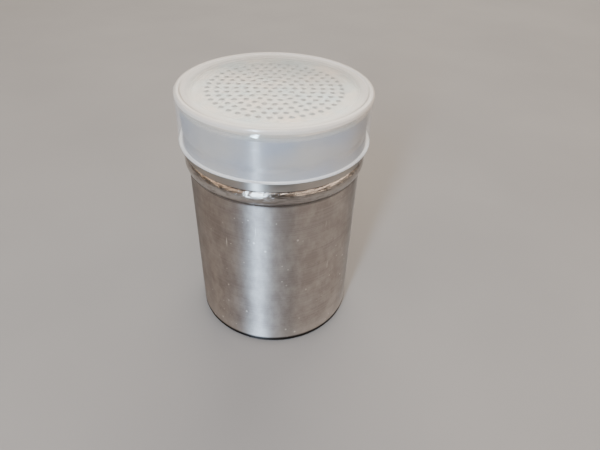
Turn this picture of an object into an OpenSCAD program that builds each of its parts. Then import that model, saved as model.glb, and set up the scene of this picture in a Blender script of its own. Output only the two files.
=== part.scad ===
// Spice shaker for a restaurant table or kitchen: a drawn steel cup, a perforated
// steel lid that screws onto the cup's neck, a seal between them and a translucent
// push-on cover. Millimetres, +Z up. The origin is on the table, under the cup's axis.

/* [Cup] */
// Outside diameter of the cup's straight wall
cup_d = 65.2; // [50:0.2:90]
// Height of the cup, from the table to the top of its rolled rim
cup_h = 97.6; // [88:0.2:140]
// Thickness of the cup's sheet
cup_sheet = 0.5; // [0.3:0.05:0.7]
// Outside radius of the cup's bottom edge
foot_r = 2.2; // [1.2:0.1:4]
// Width of the flat ring that the cup stands on
foot_w = 3; // [2:0.1:6]
// Height of the hollow pressed into the floor
floor_rise = 0.8; // [0.4:0.1:1.4]
// Radius of the inward roll that closes the rim
curl_r = 0.9; // [0.75:0.05:1.2]

/* [Stop bead and neck] */
// Height of the middle of the stop bead above the table
bead_z = 74.2; // [60:0.1:76]
// Radius of the stop bead's rounded face
bead_r = 3.7; // [3.2:0.1:4.6]
// How far the stop bead stands out of the wall
bead_out = 1.4; // [1:0.05:1.8]
// How far the neck is drawn in from the wall
neck_in = 0.85; // [0.6:0.05:1.4]
// Radius of the hollow corners above and below the stop bead
bead_fillet = 0.8; // [0.6:0.05:1.2]

/* [Thread] */
// Rise of the thread in one turn
thread_pitch = 4; // [3.6:0.1:5]
// How far the cup's thread stands out of the neck
thread_depth = 0.9; // [0.6:0.05:1.1]
// Width of a thread's flat crest
thread_crest = 0.9; // [0.6:0.05:1.1]
// Spread of a thread's flanks for each millimetre of depth, on one side
thread_slope = 0.7; // [0.5:0.05:0.8]
// Turns of thread on the cup's neck
cup_thread_turns = 1.5; // [1:0.25:2]
// Turns of thread in the lid's skirt
lid_thread_turns = 1.25; // [1:0.25:1.5]
// Height of the lid's thread, where it starts, above the lid's lower edge
lid_thread_up = 5.6; // [4:0.1:7]
// Gap between the crests of a thread and the wall that they face
thread_gap = 0.18; // [0.14:0.02:0.3]

/* [Perforated lid] */
// Thickness of the lid's sheet
lid_sheet = 0.4; // [0.3:0.05:0.5]
// Outside radius of the lid's top edge
lid_corner = 3; // [2.4:0.1:3.4]
// Height of the folded hem at the lid's lower edge
hem_h = 2.4; // [1.5:0.1:3]
// Gap between the lid's lower edge and the stop bead
edge_gap = 0.4; // [0.3:0.05:0.8]
// Diameter of one shaker hole
hole_d = 1.9; // [1:0.1:2.4]
// Distance between neighbouring rings of holes
hole_pitch = 3.4; // [3:0.1:3.8]
// Number of rings of holes round the middle one
hole_rings = 7; // [3:1:7]
// Holes in the first ring, and more in each ring outwards
holes_per_ring = 6; // [6:1:6]

/* [Seal] */
// Thickness of the seal between the cup's rim and the lid
seal_t = 1; // [0.6:0.1:1.6]
// Width of the seal's flat ring
seal_w = 2.2; // [1.6:0.1:3]
// Thickness of the seal's outer edge below its bevel, as a share of its thickness
seal_edge = 0.75; // [0.6:0.05:0.9]
// Gap between the seal's bevel and the round of the lid's corner
seal_gap = 0.1; // [0.05:0.05:0.3]

/* [Cover] */
// Height of the cover, from its lower edge to the top of its raised rim
cover_h = 19; // [14:0.5:19.5]
// Thickness of the cover's side wall
cover_wall = 1.1; // [0.8:0.1:1.6]
// Thickness of the cover's top
cover_top = 1; // [0.8:0.1:1.6]
// Gap between the cover's wall and the lid
cover_gap = 0.3; // [0.2:0.05:0.6]
// Gap between the cover's inner grip bead and the lid
grip_gap = 0.06; // [0.02:0.02:0.1]
// Distance of the grip bead below the underside of the cover's top
grip_down = 6; // [4:0.5:8]
// Height of the raised rim round the cover's top
rim_up = 0.4; // [0.2:0.1:0.8]
// Width of the raised rim round the cover's top
rim_w = 2; // [1.6:0.1:3]
// Outside radius of the cover's top edge
rim_round = 1; // [0.6:0.1:1.4]
// How far the lip at the cover's lower edge stands out
lip_out = 0.25; // [0.1:0.05:0.5]
// Height of the lip at the cover's lower edge
lip_h = 0.8; // [0.5:0.1:1.5]

/* [Hidden] */

around = 96;            // steps of a full turn
thread_steps = 36;      // sections of a thread in one turn
thread_fade = 30;       // degrees over which a thread runs out at its ends
thread_root = 0.2;      // how far a thread's root lies inside the sheet that carries it
thread_end = 0.04;      // height of a thread at its very ends, as a share of its depth
curl_turn = 250;        // degrees that the cup's rim rolls over
soft = 0.3;             // radius of the small rounded edges
through = 1;            // how far a punch passes the sheet on each side

// radii, from the cup outwards
cup_r = cup_d / 2;
neck_r = cup_r - neck_in;
cup_crest_r = neck_r + thread_depth;
lid_crest_r = neck_r + thread_gap;
hem_r = cup_crest_r + thread_gap;
lid_r = hem_r + 2 * lid_sheet;
lid_in_r = lid_r - lid_sheet;
cover_in_r = lid_r + cover_gap;
cover_r = cover_in_r + cover_wall;

// the stop bead: the centre of its face, and its height at the lid's hem
bead_c = cup_r + bead_out - bead_r;
bead_top_z = bead_z + sqrt(bead_r * bead_r - pow(hem_r - bead_c, 2));

// heights, from the rim upwards
lid_edge_z = bead_top_z + edge_gap;
lid_under_z = cup_h + seal_t;
lid_top_z = lid_under_z + lid_sheet;
cover_top_z = lid_top_z + cover_top;
cover_z = cover_top_z + rim_up;
cover_edge_z = cover_z - cover_h;
lid_thread_z = lid_edge_z + lid_thread_up;

// points on an arc about [r, z], from one angle to another
function arc(r, z, radius, from, to, steps = 8) =
    [for (i = [0 : steps]) let (a = from + (to - from) * i / steps)
        [r + radius * cos(a), z + radius * sin(a)]];

// the centre of a fillet that joins an upright wall to the bead's face
function fillet_z(wall_r, side) =
    bead_z + side * sqrt(pow(bead_r + bead_fillet, 2) - pow(wall_r + bead_fillet - bead_c, 2));
function fillet_angle(wall_r, side) =
    side * acos((wall_r + bead_fillet - bead_c) / (bead_r + bead_fillet));

// the cup's outside from the middle of its floor to the end of the rolled rim.
// With inner = true, the same line on the inner face of the sheet.
function cup_line(inner = false) =
    let (t = inner ? cup_sheet : 0,
         step_r = cup_r - foot_r - foot_w,
         round = floor_rise / 2,
         low = fillet_angle(cup_r, -1), high = fillet_angle(neck_r, 1))
    concat(
        [[0, floor_rise + t]],
        arc(step_r - 2 * round - cup_sheet, floor_rise - round - cup_sheet,
            round + cup_sheet + t, 90, 45, 4),
        arc(step_r + cup_sheet, cup_sheet + round, round + cup_sheet - t, 225, 270, 4),
        arc(cup_r - foot_r, foot_r, foot_r - t, -90, 0),
        arc(cup_r + bead_fillet, fillet_z(cup_r, -1), bead_fillet + t, 180, 180 + low, 5),
        arc(bead_c, bead_z, bead_r - t, low, high, 14),
        arc(neck_r + bead_fillet, fillet_z(neck_r, 1), bead_fillet + t, 180 + high, 180, 5),
        arc(neck_r - curl_r, cup_h - curl_r, curl_r - t, 0, curl_turn, 14));

function reversed(points) = [for (i = [len(points) - 1 : -1 : 0]) points[i]];

// A ridge that climbs to the right round the Z axis. It is as wide at its crest as
// crest_w and spreads towards its root, and it runs out over thread_fade at both ends.
module climbing_ridge(root_r, crest_r, crest_w, z, from, turns) {
    count = round(turns * thread_steps);
    out = crest_r > root_r;
    sections = [for (i = [0 : count])
        let (a = i * 360 / thread_steps,
             fade = max(thread_end, min(1, a / thread_fade, (turns * 360 - a) / thread_fade)),
             r = root_r + (crest_r - root_r) * fade,
             half_crest = crest_w / 2,
             half_root = half_crest + thread_slope * abs(r - root_r),
             up = z + thread_pitch * a / 360)
        for (p = [[root_r, -half_root], [r, -half_crest], [r, half_crest], [root_r, half_root]])
            [p[0] * cos(from + a), p[0] * sin(from + a), up + p[1]]];
    sides = [for (i = [0 : count - 1], k = [0 : 3])
        let (n = (k + 1) % 4, a = 4 * i, b = a + 4)
        for (f = [[a + k, a + n, b + k], [a + n, b + n, b + k]]) f];
    ends = let (e = 4 * count) [[0, 3, 2], [0, 2, 1], [e, e + 1, e + 2], [e, e + 2, e + 3]];
    faces = concat(sides, ends);
    polyhedron(sections, out ? faces : [for (f = faces) reversed(f)]);
}

// The groove that the same thread leaves on the other face of its sheet
module thread_groove(open_r, crest_r, sheet, z, from, turns) {
    side = open_r > crest_r ? 1 : -1;
    flank = sheet * sqrt(1 + thread_slope * thread_slope);
    bottom_r = crest_r + side * sheet;
    bottom_w = thread_crest + 2 * (thread_slope * sheet - flank);
    climbing_ridge(open_r, bottom_r, bottom_w, z, from, turns);
}

module cup() {
    // the cup's thread lies half a pitch above the lid's, so the two hold each other
    from = -180;
    z = lid_thread_z + thread_pitch / 2 + thread_pitch * from / 360;
    color("silver")
    difference() {
        union() {
            rotate_extrude($fn = around) polygon(concat(cup_line(), reversed(cup_line(true))));
            climbing_ridge(neck_r - thread_root, cup_crest_r, thread_crest, z, from,
                cup_thread_turns);
        }
        thread_groove(neck_r - cup_sheet - thread_root, cup_crest_r, cup_sheet, z, from,
            cup_thread_turns);
    }
}

module seal_ring() {
    // the bevel keeps the seal clear of the round inside the lid's corner
    flat_r = lid_r - lid_corner;
    edge_z = cup_h + seal_edge * seal_t;
    reach = lid_corner - lid_sheet - seal_gap;
    out_r = flat_r + sqrt(max(0, pow(reach, 2) - pow(edge_z - lid_top_z + lid_corner, 2)));
    color("gainsboro")
    rotate_extrude($fn = around) polygon(concat(
        arc(out_r - soft, cup_h + soft, soft, -90, 0, 3),
        [[out_r, edge_z], [flat_r - seal_gap, lid_under_z]],
        arc(out_r - seal_w + soft, lid_under_z - soft, soft, 90, 180, 3),
        arc(out_r - seal_w + soft, cup_h + soft, soft, 180, 270, 3)));
}

module lid_shell() {
    rotate_extrude($fn = around) polygon(concat(
        [[0, lid_top_z]],
        arc(lid_r - lid_corner, lid_top_z - lid_corner, lid_corner, 90, 0),
        arc(lid_in_r, lid_edge_z + lid_sheet, lid_sheet, 0, -180),
        [[hem_r, lid_edge_z + hem_h - lid_sheet / 2],
         [hem_r + lid_sheet / 2, lid_edge_z + hem_h],
         [lid_in_r, lid_edge_z + hem_h]],
        arc(lid_r - lid_corner, lid_top_z - lid_corner, lid_corner - lid_sheet, 0, 90),
        [[0, lid_under_z]]));
}

module shaker_hole() {
    cylinder(d = hole_d, h = lid_sheet + 2 * through, $fn = 24);
}

module shaker_holes() {
    translate([0, 0, lid_under_z - through]) {
        shaker_hole();
        for (ring = [1 : hole_rings], i = [0 : holes_per_ring * ring - 1])
            rotate(360 * i / (holes_per_ring * ring))
                translate([hole_pitch * ring, 0, 0])
                    shaker_hole();
    }
}

module perforated_lid() {
    color("lightgrey")
    difference() {
        union() {
            lid_shell();
            climbing_ridge(lid_in_r + thread_root, lid_crest_r, thread_crest, lid_thread_z, 0,
                lid_thread_turns);
        }
        thread_groove(lid_r + thread_root, lid_crest_r, lid_sheet, lid_thread_z, 0,
            lid_thread_turns);
        shaker_holes();
    }
}

module cover() {
    grip_in = cover_gap - grip_gap;
    grip_z = lid_top_z - grip_down;
    color([0.86, 0.9, 0.93, 0.6])
    rotate_extrude($fn = around) polygon(concat(
        [[0, cover_top_z]],
        [[cover_r - rim_w - rim_up, cover_top_z]],
        arc(cover_r - rim_w + soft, cover_z - soft, soft, 135, 90, 3),
        arc(cover_r - rim_round, cover_z - rim_round, rim_round, 90, 0),
        [[cover_r, cover_edge_z + lip_h + lip_out],
         [cover_r + lip_out, cover_edge_z + lip_h]],
        arc(cover_r + lip_out - soft, cover_edge_z + soft, soft, 0, -90, 3),
        arc(cover_in_r + soft, cover_edge_z + soft, soft, 270, 180, 3),
        [[cover_in_r, grip_z - 2 * grip_in],
         [cover_in_r - grip_in, grip_z - grip_in / 2],
         [cover_in_r - grip_in, grip_z + grip_in / 2],
         [cover_in_r, grip_z + 2 * grip_in]],
        arc(cover_in_r - soft, lid_top_z - soft, soft, 0, 90, 3),
        [[0, lid_top_z]]));
}

cup();
seal_ring();
perforated_lid();
cover();
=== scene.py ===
# %% [markdown]
# # A spice shaker in four pieces
#
# This lesson dresses a round steel spice shaker: a drawn cup, a perforated lid that
# screws onto it, a seal between the two and a milky cover that pushes over the lid.
# The engineering model gives the places and sizes; here each piece gets a finer
# surface and a finish. We start by loading that model as a fixed frame.

# %% Load the frame
import math
from functools import partial

import bpy
from mathutils import Matrix, Vector


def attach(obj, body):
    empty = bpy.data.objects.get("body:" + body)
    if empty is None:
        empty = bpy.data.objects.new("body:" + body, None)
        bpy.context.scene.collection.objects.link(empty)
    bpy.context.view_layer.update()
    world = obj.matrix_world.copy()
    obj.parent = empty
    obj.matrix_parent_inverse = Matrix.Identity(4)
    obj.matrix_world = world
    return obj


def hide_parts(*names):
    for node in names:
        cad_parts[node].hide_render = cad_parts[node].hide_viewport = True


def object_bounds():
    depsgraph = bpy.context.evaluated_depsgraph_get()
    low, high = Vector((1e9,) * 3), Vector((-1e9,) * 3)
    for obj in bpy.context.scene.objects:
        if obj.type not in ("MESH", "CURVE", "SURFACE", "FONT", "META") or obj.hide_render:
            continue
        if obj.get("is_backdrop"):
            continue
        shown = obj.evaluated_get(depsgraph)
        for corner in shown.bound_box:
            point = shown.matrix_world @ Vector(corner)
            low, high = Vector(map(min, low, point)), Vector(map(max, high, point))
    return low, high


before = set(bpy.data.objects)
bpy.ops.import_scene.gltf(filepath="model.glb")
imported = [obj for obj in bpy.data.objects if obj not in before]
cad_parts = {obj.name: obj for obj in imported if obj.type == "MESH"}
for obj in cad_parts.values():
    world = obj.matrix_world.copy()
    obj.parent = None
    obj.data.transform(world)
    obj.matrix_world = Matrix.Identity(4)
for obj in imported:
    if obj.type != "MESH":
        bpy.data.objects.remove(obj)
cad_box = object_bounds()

# %% [markdown]
# ## Sizes
#
# All sizes are written in millimetres, as on a drawing, and turned into metres at the
# moment a mesh is made. Radii run outwards from the cup's wall to the cover, so that
# each piece keeps its clearance to the next one.

# %% Sizes of the cup
MM = 0.001
CUP_R = 32.6            # the straight wall
CUP_H = 97.6            # top of the rolled rim
CUP_SHEET = 0.5
FOOT_R = 2.2            # round of the bottom edge
FOOT_W = 3.0            # flat ring that the cup stands on
FLOOR_RISE = 0.8
CURL_R = 0.9            # the inward roll of the rim
CURL_TURN = 250         # degrees that the rim rolls over
BEAD_Z = 74.2
BEAD_R = 3.7
BEAD_C = 30.3           # radius at which the bead's face is centred
BEAD_FILLET = 0.8
BEAD_START_Z = 70.3     # the brushed finish ends here
NECK_R = 31.75
print("cup", 2 * CUP_R, "mm across,", CUP_H, "mm high")

# %% Sizes of the lid and the cover
LID_R = 33.63
LID_SHEET = 0.4
LID_CORNER = 3.0
LID_EDGE_Z = 77.30
LID_TOP_Z = 99.0
LID_UNDER_Z = LID_TOP_Z - LID_SHEET
BRIGHT_START_Z = 95.5   # the spun finish ends here
PLATE_R = 28.0          # where the flat top gives way to the turned skirt
HEM_R = 32.83           # inner face of the folded hem
HEM_H = 2.4
COVER_IN_R = 33.93
COVER_R = 35.03
COVER_UNDER_Z = 99.06   # the top lies on the lid with a trace of air between
COVER_TOP_Z = 100.0
COVER_Z = 100.4         # top of the raised rim
COVER_EDGE_Z = 81.4
SOFT = 0.3              # radius of the small rounded edges
print("cover", 2 * COVER_R, "mm across,", COVER_Z, "mm high in all")

# %% Sizes of the threads and the holes
THREAD_Z = 82.9         # height at which both threads start
THREAD_PITCH = 4.0
THREAD_CREST = 0.9
THREAD_ROWS = (80.0, 96.0, 0.3)  # lowest and highest z of the finer rows, and their spacing
CUP_THREAD = 0.9        # how far the cup's thread is pushed out
LID_THREAD = -1.3       # how far the lid's thread is pushed in
HOLE_RINGS = 7
RING_SPACING = 3.4
HOLE_R = 0.95
HOLE_FLAT_R = 1.03      # where the flat top starts to round over
HOLE_ROUND = 0.07       # depth of that round
COLLAR_R = 1.12         # outside of the flat collar that each hole brings with it
HOLE_STEPS = 18
print("holes:", 1 + 3 * HOLE_RINGS * (HOLE_RINGS + 1))

# %% [markdown]
# ## Profiles
#
# The cup, lid, seal and cover are all turned shapes, so each starts as a line of
# [radius, height] points: half of its cross-section. Arcs are sampled finely. A long
# straight run gets a point close to each end as well, because smooth shading would
# otherwise spread the curve of the arc over the whole flat.

# %% Points of a profile
NEAR_END = 0.15         # distance of a holding point from the end of a run
LONG_RUN = 1.3          # shorter stretches belong to arcs and are left as they are


def arc(r, z, radius, start, end, steps=8):
    """Points on an arc about [r, z], between two angles in degrees."""
    turns = [math.radians(start + (end - start) * i / steps) for i in range(steps + 1)]
    return [(r + radius * math.cos(a), z + radius * math.sin(a)) for a in turns]


def fill_runs(points, spacing=4.0, fine=None):
    """Divide the straight runs. fine is (lowest z, highest z, spacing) for one stretch."""
    filled = [points[0]]
    for (r0, z0), (r1, z1) in zip(points, points[1:]):
        length = math.hypot(r1 - r0, z1 - z0)
        if length > LONG_RUN:
            middle = (z0 + z1) / 2
            step = fine[2] if fine and fine[0] < middle < fine[1] else spacing
            inner = length - 2 * NEAR_END
            count = max(1, math.ceil(inner / step))
            for i in range(count + 1):
                along = NEAR_END + inner * i / count
                filled.append((r0 + (r1 - r0) * along / length, z0 + (z1 - z0) * along / length))
        filled.append((r1, z1))
    return filled


def facing_out(points):
    """The same profile, running anticlockwise, so that its faces point outwards."""
    pairs = zip(points, points[1:] + points[:1])
    area = sum(r0 * z1 - r1 * z0 for (r0, z0), (r1, z1) in pairs)
    return points if area > 0 else points[::-1]


print("a quarter circle has", len(arc(0, 0, 1, 0, 90)), "points")

# %% [markdown]
# ## The cup's profile
#
# The cup is drawn from one sheet. Its outside and inside are therefore the same line,
# one sheet apart: floor, foot, wall, stop bead, neck and the rim rolled inwards.

# %% Cup profile
def bead_joint(wall_r, side):
    """Height and angle at which a small fillet joins an upright wall to the bead."""
    reach = BEAD_R + BEAD_FILLET
    out = wall_r + BEAD_FILLET - BEAD_C
    height = BEAD_Z + side * math.sqrt(reach ** 2 - out ** 2)
    return height, side * math.degrees(math.acos(out / reach))


def cup_line(t):
    """The cup's outer line, or with t = CUP_SHEET its inner one, from the floor to the rim."""
    bend = FLOOR_RISE / 2
    step_r = CUP_R - FOOT_R - FOOT_W
    low_z, low = bead_joint(CUP_R, -1)
    high_z, high = bead_joint(NECK_R, 1)
    return ([(0, FLOOR_RISE + t)]
            + arc(step_r - 2 * bend - CUP_SHEET, FLOOR_RISE - bend - CUP_SHEET,
                  bend + CUP_SHEET + t, 90, 45, 4)
            + arc(step_r + CUP_SHEET, CUP_SHEET + bend, bend + CUP_SHEET - t, 225, 270, 4)
            + arc(CUP_R - FOOT_R, FOOT_R, FOOT_R - t, -90, 0)
            + arc(CUP_R + BEAD_FILLET, low_z, BEAD_FILLET + t, 180, 180 + low, 6)
            + arc(BEAD_C, BEAD_Z, BEAD_R - t, low, high, 26)
            + arc(NECK_R + BEAD_FILLET, high_z, BEAD_FILLET + t, 180 + high, 180, 6)
            + arc(NECK_R - CURL_R, CUP_H - CURL_R, CURL_R - t, 0, CURL_TURN, 16))


cup_profile = fill_runs(cup_line(0) + cup_line(CUP_SHEET)[::-1], fine=THREAD_ROWS)
print("cup profile:", len(cup_profile), "points")

# %% [markdown]
# ## Profiles of the lid, the seal and the cover
#
# The lid's skirt is one more folded sheet: it starts on the flat top, turns down at the
# corner, and ends in a hem folded inwards. Its flat top is left out here, because the
# holes are made in it later. The seal is a flat ring, bevelled outside to clear the round
# of the lid's corner. The cover is thicker: a raised rim round a flat top, a plain wall
# with a low bead inside that grips the lid, and a thin lip at its lower edge.

# %% Lid, seal and cover profiles
def lid_profile():
    inner_r, corner_r = LID_R - LID_SHEET, LID_R - LID_CORNER
    corner_z = LID_TOP_Z - LID_CORNER
    line = ([(PLATE_R, LID_TOP_Z)] + arc(corner_r, corner_z, LID_CORNER, 90, 0, 10)
            + arc(inner_r, LID_EDGE_Z + LID_SHEET, LID_SHEET, 0, -180, 10)
            + [(HEM_R, LID_EDGE_Z + HEM_H - LID_SHEET / 2),
               (HEM_R + LID_SHEET / 2, LID_EDGE_Z + HEM_H), (inner_r, LID_EDGE_Z + HEM_H)]
            + arc(corner_r, corner_z, LID_CORNER - LID_SHEET, 0, 90, 10)
            + [(PLATE_R, LID_UNDER_Z)])
    return facing_out(fill_runs(line, fine=THREAD_ROWS))


def seal_profile(outer_r=31.48, width=2.2, edge=0.75, corner_gap=0.1):
    inner_r, flat_r = outer_r - width, LID_R - LID_CORNER - corner_gap
    line = (arc(outer_r - SOFT, CUP_H + SOFT, SOFT, -90, 0, 5)
            + [(outer_r, CUP_H + edge), (flat_r, LID_UNDER_Z)]
            + arc(inner_r + SOFT, LID_UNDER_Z - SOFT, SOFT, 90, 180, 5)
            + arc(inner_r + SOFT, CUP_H + SOFT, SOFT, 180, 270, 5))
    return facing_out(fill_runs(line)) + [line[0]]


def cover_profile(rim_w=2.0, rim_round=1.0, lip_h=0.8, lip_out=0.25, grip_in=0.24, grip_down=6.0):
    grip_z = LID_TOP_Z - grip_down
    rim_up = COVER_Z - COVER_TOP_Z
    line = ([(0, COVER_TOP_Z), (COVER_R - rim_w - rim_up, COVER_TOP_Z)]
            + arc(COVER_R - rim_w + SOFT, COVER_Z - SOFT, SOFT, 135, 90, 5)
            + arc(COVER_R - rim_round, COVER_Z - rim_round, rim_round, 90, 0, 10)
            + [(COVER_R, COVER_EDGE_Z + lip_h + lip_out),
               (COVER_R + lip_out, COVER_EDGE_Z + lip_h)]
            + arc(COVER_R + lip_out - SOFT, COVER_EDGE_Z + SOFT, SOFT, 0, -90, 5)
            + arc(COVER_IN_R + SOFT, COVER_EDGE_Z + SOFT, SOFT, 270, 180, 5)
            + [(COVER_IN_R, grip_z - 2 * grip_in), (COVER_IN_R - grip_in, grip_z - grip_in / 2),
               (COVER_IN_R - grip_in, grip_z + grip_in / 2), (COVER_IN_R, grip_z + 2 * grip_in)]
            + arc(COVER_IN_R - SOFT, COVER_UNDER_Z - SOFT, SOFT, 0, 90, 5)
            + [(0, COVER_UNDER_Z)])
    return facing_out(fill_runs(line))


for profile in (lid_profile, seal_profile, cover_profile):
    print(profile.__name__, len(profile()), "points")

# %% [markdown]
# ## Writing node trees in a script
#
# Geometry Nodes and shaders are both node trees, so the same small helpers serve for
# each: `add` makes a node and feeds its inputs by name, and `calc` makes a Math node. An
# input is fed either with a plain value or with another node's output. Most trees below
# give `calc` their own name, `maths`, so that their formulas stay short.

# %% Node helpers
FULL_TURN = 2 * math.pi


def feed(tree, socket, value):
    if isinstance(value, bpy.types.NodeSocket):
        tree.links.new(value, socket)
    else:
        socket.default_value = value


def add(tree, kind, settings=None, **inputs):
    """Add a node, set its properties, then feed the inputs that are named."""
    node = tree.nodes.new(kind)
    for name, value in (settings or {}).items():
        setattr(node, name, value)
    for name, value in inputs.items():
        label = name.replace("_", " ")
        feed(tree, next(s for s in node.inputs if s.enabled and s.name == label), value)
    return node


def calc(tree, operation, *values):
    node = add(tree, "ShaderNodeMath", {"operation": operation})
    for socket, value in zip(node.inputs, values):
        feed(tree, socket, value)
    return node.outputs[0]


def around(tree, radius, angle, height=0.0):
    """The place at a radius and an angle round the Z axis."""
    return add(tree, "ShaderNodeCombineXYZ",
               X=calc(tree, "MULTIPLY", radius, calc(tree, "COSINE", angle)),
               Y=calc(tree, "MULTIPLY", radius, calc(tree, "SINE", angle)), Z=height).outputs[0]


def new_group(name, inputs, outputs):
    """A Geometry Nodes tree with named inputs, and its input and output nodes."""
    tree = bpy.data.node_groups.new(name, "GeometryNodeTree")
    for side, sockets in (("INPUT", inputs), ("OUTPUT", outputs)):
        for label, (kind, value) in sockets.items():
            socket = tree.interface.new_socket(label, in_out=side,
                                               socket_type="NodeSocket" + kind)
            if value is not None:
                socket.default_value = value
    return tree, tree.nodes.new("NodeGroupInput").outputs, tree.nodes.new("NodeGroupOutput").inputs


print("helpers:", [helper.__name__ for helper in (feed, add, calc, around, new_group)])

# %% [markdown]
# ## The rolled thread
#
# The thread on the neck and the one in the lid are rolled into thin sheet, so the ridge
# on one face is a groove on the other. That makes it a push: each point of the wall moves
# in or out by an amount that depends only on its angle and height. This tree works that
# push out, and the next tree applies it to both faces at once.

# %% Tree: rolled thread
HAIR = 0.01             # keeps the flank from having no width where there is no thread
THREAD_INPUTS = {
    "Thread depth": ("Float", 0.0), "Thread height": ("Float", THREAD_Z * MM),
    "Thread start": ("Float", 0.0), "Thread turns": ("Float", 1.25),
    "Thread pitch": ("Float", THREAD_PITCH * MM), "Crest width": ("Float", THREAD_CREST * MM),
    "Flank spread": ("Float", 0.7), "Run out": ("Float", math.radians(30)),
}


def rolled_thread():
    tree, given, result = new_group(
        "rolled thread", {"Angle": ("Float", 0.0), "Height": ("Float", 0.0), **THREAD_INPUTS},
        {"Push": ("Float", None)})
    maths, pitch, depth = partial(calc, tree), given["Thread pitch"], given["Thread depth"]
    angle = maths("WRAP", maths("SUBTRACT", given["Angle"], given["Thread start"]), FULL_TURN, 0.0)
    climb = maths("MULTIPLY", pitch, maths("DIVIDE", angle, FULL_TURN))
    above = maths("SUBTRACT", maths("SUBTRACT", given["Height"], given["Thread height"]), climb)
    nearest = maths("ROUND", maths("DIVIDE", above, pitch))
    away = maths("ABSOLUTE", maths("SUBTRACT", above, maths("MULTIPLY", nearest, pitch)))
    along = maths("ADD", angle, maths("MULTIPLY", nearest, FULL_TURN))
    left = maths("SUBTRACT", maths("MULTIPLY", given["Thread turns"], FULL_TURN), along)
    fade = maths("DIVIDE", maths("MINIMUM", along, left), given["Run out"])
    fade.node.use_clamp = True
    half_crest = maths("DIVIDE", given["Crest width"], 2.0)
    flank = maths("MULTIPLY", given["Flank spread"], maths("ABSOLUTE", depth))
    half_root = maths("ADD", half_crest, maths("ADD", flank, HAIR * MM))
    ridge = add(tree, "ShaderNodeMapRange", {"interpolation_type": "SMOOTHSTEP"},
                Value=away, From_Min=half_root, From_Max=half_crest)
    push = maths("MULTIPLY", maths("MULTIPLY", depth, fade), ridge.outputs[0])
    feed(tree, result["Push"], push)
    return tree


THREAD = rolled_thread()
print("thread tree:", len(THREAD.nodes), "nodes")

# %% [markdown]
# ## Turning a profile
#
# A lathe as a node tree: a grid has one column for each step of the turn and one row for
# each point of the profile. Each grid point looks up its profile point, swings it round
# the Z axis and adds the thread's push. The modifiers Screw and Spin could turn it too,
# but they couldn't roll a thread into it. Merging by distance closes the seam and the
# middle of the floor.

# %% Tree: turned sheet
SAME_PLACE = 0.000001   # metres: points closer than this are one point
TURN_STEPS = 192


def passed_on(given):
    """A tree's own thread inputs, named as add() takes them."""
    return {label.replace(" ", "_"): given[label] for label in THREAD_INPUTS}


def turned_sheet():
    tree, given, result = new_group(
        "turned sheet",
        {"Profile": ("Geometry", None), "Steps": ("Int", TURN_STEPS), **THREAD_INPUTS},
        {"Sheet": ("Geometry", None)})
    maths, profile, steps = partial(calc, tree), given["Profile"], given["Steps"]
    size = add(tree, "GeometryNodeAttributeDomainSize", Geometry=profile)
    rows = size.outputs["Point Count"]
    grid = add(tree, "GeometryNodeMeshGrid", Vertices_X=maths("ADD", steps, 1.0), Vertices_Y=rows)
    index = add(tree, "GeometryNodeInputIndex").outputs[0]
    column = maths("FLOOR", maths("DIVIDE", maths("ADD", index, 0.5), rows))
    row = maths("SUBTRACT", index, maths("MULTIPLY", column, rows))
    place = add(tree, "GeometryNodeInputPosition").outputs[0]
    point = add(tree, "GeometryNodeSampleIndex", {"data_type": "FLOAT_VECTOR"},
                Geometry=profile, Value=place, Index=row)
    point = add(tree, "ShaderNodeSeparateXYZ", Vector=point.outputs[0]).outputs
    angle = maths("MULTIPLY", maths("DIVIDE", column, steps), FULL_TURN)
    push = add(tree, "GeometryNodeGroup", {"node_tree": THREAD}, Angle=angle, Height=point["Z"],
               **passed_on(given)).outputs[0]
    turned = around(tree, maths("ADD", point["X"], push), angle, point["Z"])
    moved = add(tree, "GeometryNodeSetPosition", Geometry=grid.outputs["Mesh"], Position=turned)
    merged = add(tree, "GeometryNodeMergeByDistance", Geometry=moved.outputs[0],
                 Distance=SAME_PLACE)
    feed(tree, result["Sheet"], merged.outputs[0])
    return tree


TURNED = turned_sheet()
print("turning tree:", len(TURNED.nodes), "nodes")

# %% [markdown]
# ## A finished turned piece
#
# The outer tree turns the profile, shades it smoothly except across real corners, and
# gives it its finish. The cup needs two: its wall is brushed, while the bead and the neck
# were made bright by the rollers that formed them. So the tree takes a second material
# for everything above a border height.

# %% Tree: turned piece
CORNER = math.radians(35)
NO_BORDER = 1.0         # metres: a border above every piece
PIECE_INPUTS = {"Geometry": ("Geometry", None), "Steps": ("Int", TURN_STEPS), **THREAD_INPUTS,
                "Material": ("Material", None), "Upper material": ("Material", None),
                "Border height": ("Float", NO_BORDER)}


def turn(tree, given):
    """Put the turning tree into another tree, fed from that tree's own inputs."""
    return add(tree, "GeometryNodeGroup", {"node_tree": TURNED}, Profile=given["Geometry"],
               Steps=given["Steps"], **passed_on(given)).outputs[0]


def shade(tree, mesh):
    """Smooth shading, with the edges that are sharper than CORNER kept crisp."""
    bend = add(tree, "GeometryNodeInputMeshEdgeAngle").outputs["Unsigned Angle"]
    smooth = add(tree, "GeometryNodeSetShadeSmooth", {"domain": "FACE"}, Geometry=mesh)
    crisp = add(tree, "GeometryNodeSetShadeSmooth", {"domain": "EDGE"},
                Geometry=smooth.outputs[0], Selection=calc(tree, "GREATER_THAN", bend, CORNER),
                Shade_Smooth=False)
    return crisp.outputs[0]


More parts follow.
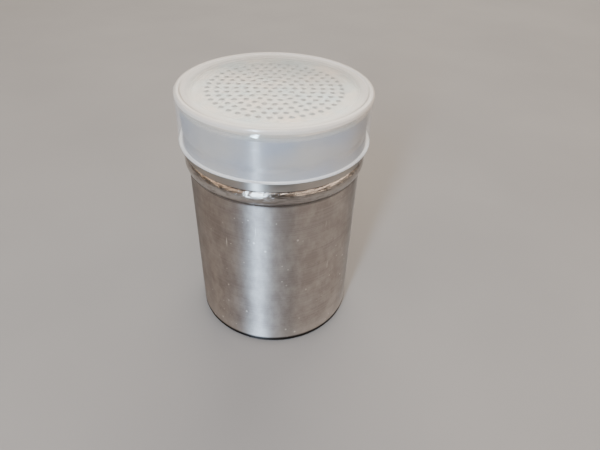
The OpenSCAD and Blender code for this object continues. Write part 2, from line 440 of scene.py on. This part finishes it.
def finish(tree, mesh, given, result):
    """The end of each piece's tree: real geometry, then the finishes by height."""
    real = add(tree, "GeometryNodeRealizeInstances", Geometry=shade(tree, mesh))
    place = add(tree, "GeometryNodeInputPosition").outputs[0]
    height = add(tree, "ShaderNodeSeparateXYZ", Vector=place).outputs["Z"]
    above = calc(tree, "GREATER_THAN", height, given["Border height"])
    lower = add(tree, "GeometryNodeSetMaterial", Geometry=real.outputs[0],
                Material=given["Material"])
    upper = add(tree, "GeometryNodeSetMaterial", Geometry=lower.outputs[0], Selection=above,
                Material=given["Upper material"])
    feed(tree, result["Geometry"], upper.outputs[0])


def turned_piece():
    tree, given, result = new_group("turned piece", PIECE_INPUTS, {"Geometry": ("Geometry", None)})
    finish(tree, turn(tree, given), given, result)
    return tree


TURNED_PIECE = turned_piece()
print("piece tree:", len(TURNED_PIECE.nodes), "nodes")

# %% [markdown]
# ## The perforations
#
# The lid has a hole in the middle and seven rings round it, with six more holes in each
# ring than in the one before. The holes are numbered outwards from 0 in the middle. From
# its number alone, a hole's ring is the smallest whole k for which 3 k (k + 1) is at least
# that number, and its place in the ring is what is left over. So one cloud of points,
# moved by that rule, gives all 169 places.

# %% Tree: rings of points
ROUNDING = 0.001        # keeps a ring's last hole from slipping into the next ring


def hole_places():
    tree, given, result = new_group(
        "hole places",
        {"Rings": ("Int", HOLE_RINGS), "Ring spacing": ("Float", RING_SPACING * MM)},
        {"Places": ("Geometry", None)})
    maths, rings = partial(calc, tree), given["Rings"]
    whole = maths("MULTIPLY", maths("MULTIPLY", rings, 3.0), maths("ADD", rings, 1.0))
    number = add(tree, "GeometryNodeInputIndex").outputs[0]
    root = maths("SQRT", maths("MULTIPLY_ADD", number, 12.0, 9.0))
    answer = maths("DIVIDE", maths("SUBTRACT", root, 3.0), 6.0)
    ring = maths("CEIL", maths("SUBTRACT", answer, ROUNDING))
    inside = maths("MULTIPLY", maths("MULTIPLY", ring, 3.0), maths("SUBTRACT", ring, 1.0))
    place = maths("SUBTRACT", maths("SUBTRACT", number, 1.0), inside)
    in_ring = maths("MULTIPLY", maths("MAXIMUM", ring, 1.0), 6.0)
    angle = maths("MULTIPLY", maths("DIVIDE", place, in_ring), FULL_TURN)
    spot = around(tree, maths("MULTIPLY", ring, given["Ring spacing"]), angle)
    points = add(tree, "GeometryNodePoints", Count=maths("ADD", whole, 1.0), Position=spot)
    feed(tree, result["Places"], points.outputs[0])
    return tree


PLACES = hole_places()
print("hole places tree:", len(PLACES.nodes), "nodes")

# %% [markdown]
# ## The perforated lid
#
# Cutting 169 cylinders out of a disc with booleans is slow and leaves poor faces. Here the
# top is filled like a drawing: one large circle with small circles inside it. The same
# filling makes the underside. Between them, every hole gets a small turned edge that
# rounds over at the top, as a punch leaves it, and the turned skirt goes round it all.
# Every part ends on the same points as its neighbour, so merging makes one closed sheet.
#
# One fault is left in it. Fill Curve makes faces that look up, so the flip belongs on the
# underside and not on the top, and the profile of the hole's edge runs the wrong way too.
# The perforated plate therefore faces into its own sheet, while the skirt faces outwards.
# Counting edges doesn't show that, but the volume that is printed for the lid does.

# %% Tree: perforated lid
LID_INPUTS = {**PIECE_INPUTS, "Rings": ("Int", HOLE_RINGS), "Hole steps": ("Int", HOLE_STEPS),
              "Ring spacing": ("Float", RING_SPACING * MM), "Hole edge": ("Object", None),
              "Plate radius": ("Float", PLATE_R * MM), "Top height": ("Float", LID_TOP_Z * MM),
              "Sheet": ("Float", LID_SHEET * MM), "Collar radius": ("Float", COLLAR_R * MM),
              "Hole radius": ("Float", HOLE_R * MM)}


def perforated_lid():
    tree, given, result = new_group("perforated lid", LID_INPUTS, {"Geometry": ("Geometry", None)})
    places = add(tree, "GeometryNodeGroup", {"node_tree": PLACES}, Rings=given["Rings"],
                 Ring_spacing=given["Ring spacing"]).outputs[0]

    def circle(steps, radius):
        return add(tree, "GeometryNodeCurvePrimitiveCircle", Resolution=steps,
                   Radius=radius).outputs[0]

    def copies(shape):
        return add(tree, "GeometryNodeInstanceOnPoints", Points=places, Instance=shape).outputs[0]

    def realized(instances):
        return add(tree, "GeometryNodeRealizeInstances", Geometry=instances).outputs[0]

    def raised(shape, height):
        up = add(tree, "ShaderNodeCombineXYZ", Z=height).outputs[0]
        return add(tree, "GeometryNodeTransform", Geometry=shape, Translation=up).outputs[0]

    def joined(*parts):
        join = add(tree, "GeometryNodeJoinGeometry")
        for part in parts:
            tree.links.new(part, join.inputs[0])
        return join.outputs[0]

    def plate(hole_r, height):
        outline = circle(given["Steps"], given["Plate radius"])
        holes = realized(copies(circle(given["Hole steps"], hole_r)))
        filled = add(tree, "GeometryNodeFillCurve", Curve=joined(outline, holes))
        return raised(filled.outputs[0], height)

    top = given["Top height"]
    topside = add(tree, "GeometryNodeFlipFaces", Mesh=plate(given["Collar radius"], top))
    underside = plate(given["Hole radius"], calc(tree, "SUBTRACT", top, given["Sheet"]))
    edge = add(tree, "GeometryNodeObjectInfo", Object=given["Hole edge"]).outputs["Geometry"]
    edges = realized(raised(copies(edge), top))
    whole = joined(turn(tree, given), topside.outputs[0], underside, edges)
    merged = add(tree, "GeometryNodeMergeByDistance", Geometry=whole, Distance=SAME_PLACE)
    finish(tree, merged.outputs[0], given, result)
    return tree


PERFORATED = perforated_lid()
print("lid tree:", len(PERFORATED.nodes), "nodes")

# %% [markdown]
# ## From a tree to a plain mesh
#
# `grow` puts a profile into an object, lets a tree shape it, and keeps the evaluated mesh
# in place of the modifier. `report` counts the edges that don't have exactly two faces:
# none means that the piece is closed, as a solid sheet has to be. It also prints a volume,
# which only comes out right where all the faces point outwards.

# %% Grow a piece
def grow(name, profile, tree, **values):
    mesh = bpy.data.meshes.new(name)
    points = [(r * MM, 0.0, z * MM) for r, z in profile]
    mesh.from_pydata(points, [(i, i + 1) for i in range(len(points) - 1)], [])
    piece = bpy.data.objects.new(name, mesh)
    bpy.context.scene.collection.objects.link(piece)
    shaper = piece.modifiers.new("shape", "NODES")
    shaper.node_group = tree
    for socket in tree.interface.items_tree:
        if socket.in_out == "INPUT" and socket.name in values:
            shaper[socket.identifier] = values[socket.name]
    depsgraph = bpy.context.evaluated_depsgraph_get()
    grown = bpy.data.meshes.new_from_object(piece.evaluated_get(depsgraph), depsgraph=depsgraph)
    piece.modifiers.remove(shaper)
    piece.data = grown
    grown.name = name
    return piece


def report(piece):
    mesh = piece.data
    mesh.calc_loop_triangles()
    uses = [0] * len(mesh.edges)
    for loop in mesh.loops:
        uses[loop.edge_index] += 1
    open_edges = sum(count != 2 for count in uses)
    corners = [[mesh.vertices[i].co for i in t.vertices] for t in mesh.loop_triangles]
    volume = sum(a.cross(b).dot(c) for a, b, c in corners) / 6
    print(f"{piece.name}: {len(corners)} triangles, {open_edges} open edges,"
          f" {volume / MM ** 3:.0f} mm3")


print("helpers:", grow.__name__, report.__name__)

# %% [markdown]
# ## Helpers for finishes
#
# Every finish is a node tree that reads the place on the piece in Object coordinates, so
# its pattern stays fixed to the piece when that moves. Most need the same few things:
# noise that is stretched one way, a range picked out of it, a rise from one height or
# radius to another, and a blend of two colours.

# %% Finish helpers
def new_finish(name):
    """A new material, its tree, its shader and the place on the piece."""
    material = bpy.data.materials.new(name)
    material.use_nodes = True
    tree = material.node_tree
    shader = tree.nodes["Principled BSDF"]
    place = add(tree, "ShaderNodeTexCoord").outputs["Object"]
    return material, tree, shader, place


def stretched_noise(tree, place, scale, detail=4.0, roughness=0.5):
    """Noise whose scale, in features per metre, differs along X, Y and Z."""
    mapped = add(tree, "ShaderNodeMapping", Vector=place, Scale=scale)
    return add(tree, "ShaderNodeTexNoise", Vector=mapped.outputs[0], Scale=1.0, Detail=detail,
               Roughness=roughness).outputs["Fac"]


def span(tree, value, low, high, from_low=0.3, from_high=0.7):
    """Stretch the middle of a noise to the range from low to high."""
    return add(tree, "ShaderNodeMapRange", Value=value, From_Min=from_low, From_Max=from_high,
               To_Min=low, To_Max=high).outputs[0]


def ramp(tree, value, start, end, top=1.0):
    """Rise from 0 at start to top at end, both in millimetres, and stay level outside."""
    return add(tree, "ShaderNodeMapRange", Value=value, From_Min=start * MM, From_Max=end * MM,
               To_Max=top).outputs[0]


def blend_colours(tree, amount, first, second):
    mix = add(tree, "ShaderNodeMix", {"data_type": "RGBA"}, Factor=amount)
    first_colour, second_colour = 6, 7  # these two inputs share their names with others
    feed(tree, mix.inputs[first_colour], first)
    feed(tree, mix.inputs[second_colour], second)
    return mix.outputs[2]


def radius_and_height(tree, place):
    part = add(tree, "ShaderNodeSeparateXYZ", Vector=place).outputs
    squares = [calc(tree, "POWER", part[axis], 2.0) for axis in "XY"]
    return calc(tree, "SQRT", calc(tree, "ADD", *squares)), part["Z"]


def relief(tree, height, strength, depth, **over):
    """The normal of a bump, with its depth in millimetres, over another one or none."""
    return add(tree, "ShaderNodeBump", Height=height, Strength=strength, Distance=depth * MM,
               **over).outputs[0]


print("helpers:", [helper.__name__ for helper in (new_finish, stretched_noise, span, ramp,
                                                  blend_colours, radius_and_height, relief)])

# %% [markdown]
# ## Brushed steel
#
# The cup's wall was brushed while it turned, so its grain runs round it: long thin lines
# that a stretched noise gives. The grain scatters light up and down but hardly sideways,
# which is why a lamp becomes an upright streak on it. Anisotropic reflection does that,
# with its direction taken round the Z axis. Handling leaves cloudy patches, specks and a
# few short marks. The lines under the foot and under the bead are partly painted shade,
# because on this pale floor less of their shade comes by itself. The wall is also painted
# lighter towards the foot, as a painted reflection of the floor.

# %% Steel helpers
CREASE_Z = 71.3         # the middle of the painted shade under the bead
# the colour of that painted shade
SHADE = (0.10, 0.09, 0.085, 1)
QUARTER_TURN = 0.25     # turns the direction of the grain, so that highlights stand upright


def metal(tree, shader, colour, roughness, brushing):
    """Steel with grain round the Z axis; brushing is how strongly it streaks."""
    feed(tree, shader.inputs["Base Color"], colour)
    feed(tree, shader.inputs["Roughness"], roughness)
    shader.inputs["Metallic"].default_value = 1.0
    shader.inputs["Anisotropic"].default_value = brushing
    shader.inputs["Anisotropic Rotation"].default_value = QUARTER_TURN
    round_z = add(tree, "ShaderNodeTangent", {"direction_type": "RADIAL", "axis": "Z"})
    feed(tree, shader.inputs["Tangent"], round_z.outputs[0])


def painted_crease_shade(tree, height):
    """Painted shade along the line where the bead grows out of the wall."""
    away = calc(tree, "ABSOLUTE", calc(tree, "SUBTRACT", height, CREASE_Z * MM))
    return ramp(tree, away, start=1.2, end=0.3, top=0.75)


def specks(tree, place, scale, size, share, turned=0.0):
    """Soft dots: the nearness to scattered points, kept for only a share of them."""
    mapped = add(tree, "ShaderNodeMapping", Vector=place, Rotation=(turned, turned, 0),
                 Scale=scale)
    cells = add(tree, "ShaderNodeTexVoronoi", Vector=mapped.outputs[0], Scale=1.0)
    pick = add(tree, "ShaderNodeSeparateColor", Color=cells.outputs["Color"]).outputs[0]
    near = add(tree, "ShaderNodeMapRange", Value=cells.outputs["Distance"], From_Min=size,
               From_Max=size / 3)
    return calc(tree, "MULTIPLY", near.outputs[0], calc(tree, "LESS_THAN", pick, share))


print("helpers:", metal.__name__, painted_crease_shade.__name__, specks.__name__)

# %% Brushed wall
GRAIN_DARK, GRAIN_LIGHT = (0.32, 0.302, 0.302, 1), (0.44, 0.422, 0.418, 1)
# the pale colour serves the blotches and a painted reflection near the foot; the near-black one is
# painted shade along the foot's edge
STAIN, BLOOM_AND_REFLECTION, PAINTED_FOOT_SHADE = (0.30, 0.275, 0.27, 1), (0.66, 0.65, 0.64, 1), (0.015, 0.014, 0.014, 1)
DUST, FINE_DUST, MARK = (0.80, 0.79, 0.77, 1), (0.85, 0.84, 0.81, 1), (0.85, 0.84, 0.82, 1)
FOOT_REFLECTION_Z = (12.0, 2.5)     # painted reflection: the wall is painted lighter down to the foot
# painted shade along the foot's edge comes in between these heights and radii
FOOT_SHADE_Z, FOOT_SHADE_R = (3.5, 2.7), (30.6, 31.4)


def brushed_wall():
    material, tree, shader, place = new_finish("brushed_wall")
    radius, height = radius_and_height(tree, place)
    noise = partial(stretched_noise, tree, place)
    grain = noise((28, 28, 2600), detail=5.0, roughness=0.68)
    cloud = noise((75, 75, 60), detail=6.0, roughness=0.62)
    blotch = noise((190, 190, 120), detail=5.0, roughness=0.68)
    dents = noise((45, 45, 24), detail=1.0, roughness=0.4)
    # painted shade along the foot's edge
    foot = calc(tree, "MULTIPLY", ramp(tree, height, *FOOT_SHADE_Z, top=0.97),
                ramp(tree, radius, *FOOT_SHADE_R))
    layers = [(span(tree, cloud, 0, 0.60, from_low=0.35, from_high=0.75), STAIN),
              (span(tree, blotch, 0, 0.60, from_low=0.42, from_high=0.80), BLOOM_AND_REFLECTION),
              # painted reflection of the floor: the wall is painted lighter towards the foot
              (ramp(tree, height, *FOOT_REFLECTION_Z, top=0.35), BLOOM_AND_REFLECTION),
              (specks(tree, place, (260, 260, 220), size=0.15, share=0.20), DUST),
              (specks(tree, place, (420, 420, 420), size=0.14, share=0.26), FINE_DUST),
              (specks(tree, place, (700, 700, 60), size=0.17, share=0.10, turned=0.35), MARK),
              # painted shade under the bead, then painted shade along the foot's edge
              (painted_crease_shade(tree, height), SHADE), (foot, PAINTED_FOOT_SHADE)]
    grey = blend_colours(tree, span(tree, grain, 0, 1), GRAIN_DARK, GRAIN_LIGHT)
    for amount, colour in layers:
        grey = blend_colours(tree, amount, grey, colour)
    rough = calc(tree, "ADD", span(tree, cloud, 0.47, 0.57), span(tree, blotch, -0.04, 0.04))
    metal(tree, shader, grey, rough, brushing=0.96)
    waves = relief(tree, dents, strength=1.0, depth=0.7)
    feed(tree, shader.inputs["Normal"],
         relief(tree, grain, strength=0.2, depth=0.02, Normal=waves))
    return material


BRUSHED = brushed_wall()
print("finish:", BRUSHED.name)

# %% [markdown]
# ## Burnished and polished steel
#
# The rollers leave the bead almost a mirror, with faint lines round it and a slight
# orange peel, which breaks a reflection into flecks; the peel's low spots also get
# painted shade, which darkens them into flecks. The neck above it, which only shows once
# the lid is off, keeps the smoother and duller skin of drawn sheet: `calm` says how much
# of the peel is gone there. The lid's top is bright pressed sheet, painted in bluish and
# warm patches as a painted reflection of the room, and its rounded corner catches the
# lamps through the cover. Its skirt was spun, so it streaks upright as the cup's wall
# does. One function makes all three, and gives the bead the painted shade under it too.

# %% Bright steels
# the colour of the painted shade in the peel's low spots
FLECK_SHADE = (0.16, 0.14, 0.13, 1)
NECK_SKIN_Z = (77.4, 78.6)    # between these heights the bead's skin gives way to the neck's
NECK_DULLNESS = 0.2           # added to the roughness of a fully calm neck
LINE_SHARE = 0.4              # weight of the lines against that of the peel


def bright_steel(name, dark, light, rough, peel, peel_scale, spun=0.0, flecks=0.0, calm=0.0):
    material, tree, shader, place = new_finish(name)
    height = radius_and_height(tree, place)[1]
    noise = partial(stretched_noise, tree, place)
    smooth = ramp(tree, height, *NECK_SKIN_Z, top=calm)
    uneven = calc(tree, "SUBTRACT", 1.0, smooth)
    lines = noise((40, 40, 2200), roughness=0.6)
    skin = noise(peel_scale, detail=3.0, roughness=0.55)
    cloud = noise((70, 70, 70), roughness=0.6)
    steel = blend_colours(tree, span(tree, cloud, 0, 1), dark, light)
    # painted shade darkens the peel's low spots into flecks
    shaded_low_spots = span(tree, skin, flecks, 0, from_low=0.35, from_high=0.52)
    steel = blend_colours(tree, calc(tree, "MULTIPLY", uneven, shaded_low_spots), steel, FLECK_SHADE)
    # painted shade under the bead
    steel = blend_colours(tree, painted_crease_shade(tree, height), steel, SHADE)
    duller = calc(tree, "MULTIPLY", smooth, NECK_DULLNESS)
    metal(tree, shader, steel, calc(tree, "ADD", span(tree, cloud, *rough), duller), spun)
    skin = calc(tree, "ADD", calc(tree, "MULTIPLY", lines, LINE_SHARE), skin)
    strength = calc(tree, "MULTIPLY", uneven, peel)
    feed(tree, shader.inputs["Normal"], relief(tree, skin, strength, depth=0.25))
    return material


BURNISHED = bright_steel("burnished_bead", (0.38, 0.35, 0.33, 1), (0.58, 0.54, 0.50, 1),
                         rough=(0.07, 0.14), peel=1.0, peel_scale=(400, 400, 1300),
                         flecks=0.5, calm=0.9)
SPUN_SKIRT = bright_steel("spun_skirt", (0.42, 0.41, 0.40, 1), (0.52, 0.51, 0.50, 1),
                          rough=(0.38, 0.46), peel=0.02, peel_scale=(300, 300, 600), spun=1.0)
# painted reflection: the lid's colour is painted in bluish and warm patches of the room
BRIGHT_LID = bright_steel("bright_lid", (0.52, 0.66, 0.69, 1), (0.86, 0.70, 0.56, 1),
                          rough=(0.09, 0.16), peel=0.10, peel_scale=(350, 350, 500))
print("finishes:", BURNISHED.name, SPUN_SKIRT.name, BRIGHT_LID.name)

# %% [markdown]
# ## Milky plastic
#
# The cover is thin natural polypropylene, which hazes what is behind it. Real scattering
# in a thin wall takes many samples to come out clean, so here the haze is an alpha: each
# face lets most of the light straight through and adds a little of its own pale colour.
# Where the plastic is thick, at the lower lip and round the top's corner, it is denser.
# The lip is whiter too, partly as a painted highlight of its edge, and a peach band round
# the shoulder is painted warm light. An alpha also thins the gloss, so the index of
# refraction is set above the 1.49 of this plastic to leave as much gloss as it has. Slow
# noise varies the haze and turns its colour from bluish to warm, as such plastic does.

# %% Cover plastic
WALL_COOL, WALL_WARM = (0.70, 0.81, 1.0, 1), (0.98, 0.94, 0.89, 1)
TOP_COOL, TOP_WARM = (0.88, 0.96, 0.94, 1), (1.0, 0.93, 0.84, 1)
# painted warm light on the shoulder, and the lip's white, partly a painted highlight of its edge
PAINTED_RIM_LIGHT, WHITE_LIP_AND_HIGHLIGHT = (1.0, 0.92, 0.83, 1), (1, 0.99, 0.97, 1)
GLOSS_INDEX = 2.2
TOP_ZONE_Z = (98.7, 99.0)     # above these heights is the flat top and its rim
WALL_ZONE_R = (33.0, 33.8)    # beyond these radii is the wall
CORNER_ZONE_R = (28.8, 31.4)  # beyond these radii the top is denser


def milky_cover():
    material, tree, shader, place = new_finish("milky_cover")
    radius, height = radius_and_height(tree, place)
    noise, maths = partial(stretched_noise, tree, place), partial(calc, tree)
    haze = noise((30, 30, 45), roughness=0.55)
    scuff = noise((260, 260, 420), detail=2.0, roughness=0.4)
    warmth = span(tree, noise((55, 55, 110), detail=3.0), 0, 1)
    wall = blend_colours(tree, warmth, WALL_COOL, WALL_WARM)
    top = blend_colours(tree, warmth, TOP_COOL, TOP_WARM)
    colour = blend_colours(tree, ramp(tree, height, 95.5, 98.0), wall, top)
    # painted warm light: a peach band round the shoulder
    painted_rim_light = maths("MULTIPLY", ramp(tree, height, 96.0, 98.5), ramp(tree, radius, 28.6, 32.6))
    colour = blend_colours(tree, painted_rim_light, colour, PAINTED_RIM_LIGHT)
    # the thin lowest band of the lip is denser, and painted whiter as a painted highlight of its
    # edge
    lip = ramp(tree, height, COVER_EDGE_Z + 0.5, COVER_EDGE_Z + 0.3)
    feed(tree, shader.inputs["Base Color"], blend_colours(tree, lip, colour, WHITE_LIP_AND_HIGHLIGHT))
    rough = maths("ADD", span(tree, haze, 0.14, 0.20), span(tree, scuff, -0.02, 0.05))
    feed(tree, shader.inputs["Roughness"], rough)
    shader.inputs["IOR"].default_value = GLOSS_INDEX
    flat_top = ramp(tree, height, *TOP_ZONE_Z, top=0.09)
    corner = maths("MULTIPLY", ramp(tree, height, *TOP_ZONE_Z, top=0.32),
                   ramp(tree, radius, *CORNER_ZONE_R))
    side = ramp(tree, radius, *WALL_ZONE_R, top=0.08)
    shoulder = maths("MULTIPLY", ramp(tree, height, 96.5, 99.0, top=0.10),
                     ramp(tree, radius, *WALL_ZONE_R))
    dense = maths("ADD", maths("ADD", lip, flat_top), maths("ADD", side, shoulder))
    dense = maths("ADD", dense, corner)
    feed(tree, shader.inputs["Alpha"], maths("ADD", span(tree, haze, 0.15, 0.21), dense))
    feed(tree, shader.inputs["Normal"], relief(tree, scuff, strength=0.05, depth=0.03))
    return material


MILKY = milky_cover()
print("finish:", MILKY.name)

# %% [markdown]
# ## Seal rubber
#
# The seal is soft pale silicone. It is matt, with a fine grain from its mould.

# %% Seal rubber
RUBBER_DARK, RUBBER_LIGHT = (0.74, 0.74, 0.71, 1), (0.83, 0.83, 0.80, 1)


def seal_rubber():
    material, tree, shader, place = new_finish("soft_seal")
    grain = stretched_noise(tree, place, (900, 900, 900), detail=3.0)
    cloud = stretched_noise(tree, place, (90, 90, 90), detail=3.0)
    feed(tree, shader.inputs["Base Color"],
         blend_colours(tree, span(tree, cloud, 0, 1), RUBBER_DARK, RUBBER_LIGHT))
    feed(tree, shader.inputs["Roughness"], span(tree, cloud, 0.5, 0.65))
    feed(tree, shader.inputs["Normal"], relief(tree, grain, strength=0.2, depth=0.04))
    return material


RUBBER = seal_rubber()
print("finish:", RUBBER.name)

# %% [markdown]
# ## The cup and the seal
#
# The cup's thread stands outwards and starts half a turn before the lid's. The seal has no
# thread. Each piece then rides on its body of the frame and takes the place of the plain
# solid there.

# %% Make the cup and the seal
def dress(piece, body, node):
    report(piece)
    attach(piece, body)
    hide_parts(node)


cup = grow("drawn_cup", facing_out(cup_profile), TURNED_PIECE, **{
    "Thread depth": CUP_THREAD * MM, "Thread start": -math.pi, "Thread turns": 1.5,
    "Material": BRUSHED, "Upper material": BURNISHED, "Border height": BEAD_START_Z * MM})
dress(cup, "cup", "cup")
seal = grow("seal_ring_soft", seal_profile(), TURNED_PIECE,
            **{"Material": RUBBER, "Upper material": RUBBER})
dress(seal, "seal", "seal_ring")

# %% [markdown]
# ## The lid and the cover
#
# One hole's edge is turned first, as a small object that the lid's tree puts in every
# place. It is only a tool, so it is removed once the lid is grown.

# %% Make the lid and the cover
hole_line = [(HOLE_R, -LID_SHEET), (HOLE_R, -HOLE_ROUND), (HOLE_FLAT_R, 0.0), (COLLAR_R, 0.0)]
hole_edge = grow("hole_edge", hole_line, TURNED_PIECE, Steps=HOLE_STEPS)
lid = grow("screw_lid", lid_profile(), PERFORATED, **{
    "Thread depth": LID_THREAD * MM, "Thread start": 0.0, "Thread turns": 1.25,
    "Hole edge": hole_edge, "Material": SPUN_SKIRT, "Upper material": BRIGHT_LID,
    "Border height": BRIGHT_START_Z * MM})
bpy.data.objects.remove(hole_edge)
dress(lid, "lid", "perforated_lid")
cover = grow("push_on_cover", cover_profile(), TURNED_PIECE,
             **{"Material": MILKY, "Upper material": MILKY})
dress(cover, "cover", "cover")

# %% [markdown]
# ## The floor
#
# A pale floor that curves up into a round wall, as in a photographer's sweep, has no edge
# or horizon in any view. Its profile is turned by the same tree as the shaker.

# %% Floor
PAPER_DARK, PAPER_LIGHT = (0.325, 0.309, 0.297, 1), (0.355, 0.338, 0.325, 1)


def floor_paper():
    material, tree, shader, place = new_finish("pale_floor")
    tone = stretched_noise(tree, place, (9, 9, 9), detail=3.0)
    feed(tree, shader.inputs["Base Color"],
         blend_colours(tree, span(tree, tone, 0, 1), PAPER_DARK, PAPER_LIGHT))
    shader.inputs["Roughness"].default_value = 0.75
    return material


def sweep(radius=2600, height=2600, bend=1200, steps=96):
    paper = floor_paper()
    line = [(0, 0)] + arc(radius - bend, bend, bend, -90, 0, 24) + [(radius, height)]
    floor = grow("floor", line, TURNED_PIECE,
                 **{"Steps": steps, "Material": paper, "Upper material": paper})
    floor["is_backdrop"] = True
    return floor


print("floor:", len(sweep().data.polygons), "faces")

# %% [markdown]
# ## Light
#
# Steel shows what is round it, so the light panels are placed for their reflections. One
# behind lights the top of the lid. A tall cool one to the front left makes the upright
# streak on the wall, and one high in front softens it. Two warm ones stand at the sides:
# the bead curves so much that it mirrors them as bright bands, with a darker gap in the
# middle where nothing stands. The sky over it all is one large soft light.

# %% Light panels
AIM = Vector((0, 0, 0.07))    # all panels face the shaker's shoulder
MIDDLE_Z = 0.08               # elevations are counted from this height
PANELS = {  # azimuth, elevation and distance; width, height; watts; colour
    "back": ((170, 42, 1.5), (1.4, 1.1), 18.0, (1.0, 0.94, 0.84)),
    "tall_front_left": ((-22, 22, 1.0), (0.10, 0.75), 11.5, (0.62, 0.80, 1.0)),
    "high_front": ((-4, 60, 1.3), (0.6, 0.4), 5.0, (1.0, 0.90, 0.80)),
    "left": ((-78, 33, 1.2), (1.8, 0.4), 4.2, (1.0, 0.72, 0.50)),
    "right": ((68, 33, 1.2), (1.9, 0.6), 8.0, (1.0, 0.79, 0.62)),
}


def from_angles(azimuth, elevation, distance):
    """A place round the shaker: azimuth 0 is the camera's side, positive to the right."""
    azimuth, elevation = math.radians(azimuth), math.radians(elevation)
    flat = distance * math.cos(elevation)
    return Vector((flat * math.sin(azimuth), -flat * math.cos(azimuth),
                   MIDDLE_Z + distance * math.sin(elevation)))


def light_panel(name, place, size, watts, colour):
    panel = bpy.data.lights.new(name, "AREA")
    panel.shape = "RECTANGLE"
    panel.size, panel.size_y = size
    panel.energy, panel.color = watts, colour
    lamp = bpy.data.objects.new(name, panel)
    bpy.context.scene.collection.objects.link(lamp)
    lamp.location = place
    lamp.rotation_euler = (AIM - place).to_track_quat("-Z", "Y").to_euler()
    lamp.visible_camera = False


for name, (angles, size, watts, colour) in PANELS.items():
    light_panel(name, from_angles(*angles), size, watts, colour)
    print(f"{name}: {watts} W at {angles[0]} degrees round, {angles[1]} up")

# %% Sky
sky = bpy.data.worlds.new("studio")
bpy.context.scene.world = sky
sky.use_nodes = True
glow = sky.node_tree.nodes["Background"].inputs
glow["Color"].default_value = (0.66, 0.63, 0.60, 1)
glow["Strength"].default_value = 0.64
print("sky strength:", round(glow["Strength"].default_value, 2))

# %% [markdown]
# ## Camera
#
# The photograph was taken from a little above, quite close, with the wide lens of a phone.
# The camera's place comes from fitting the circles of the rim, the bead and the foot. It is
# turned by a pitch, a yaw and a small roll, which are easier to read than a matrix.

# %% Camera
def set_camera(distance=0.1633, height=0.1652, pitch=37.89, yaw=3.77, roll=2.30, lens=28.8,
               sensor=36.0, nearest=0.01):
    pitch, yaw, roll = (math.radians(a) for a in (pitch, yaw, roll))
    ahead = Vector((math.sin(yaw) * math.cos(pitch), math.cos(yaw) * math.cos(pitch),
                    -math.sin(pitch)))
    right = Vector((math.cos(yaw), -math.sin(yaw), 0))
    up = right.cross(ahead)
    right, up = (math.cos(roll) * right + math.sin(roll) * up,
                 math.cos(roll) * up - math.sin(roll) * right)
    view = bpy.data.cameras.new("camera")
    view.lens, view.sensor_width, view.clip_start = lens, sensor, nearest
    camera = bpy.data.objects.new("camera", view)
    bpy.context.scene.collection.objects.link(camera)
    turned = Matrix((right, up, -ahead)).transposed().to_4x4()
    camera.matrix_world = Matrix.Translation((0, -distance, height)) @ turned
    bpy.context.scene.camera = camera
    return camera


print("camera at", tuple(round(v, 3) for v in set_camera().location))

# %% [markdown]
# ## The size before and after dressing
#
# The looks must not change the object's size, so the box of the plain solids and the box of
# the dressed pieces are printed side by side.

# %% Sizes side by side
boxes = {"cad": [list(v) for v in cad_box], "visual": [list(v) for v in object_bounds()]}
for box_name, (low, high) in boxes.items():
    print(box_name, [round((b - a) / MM, 2) for a, b in zip(low, high)], "mm")
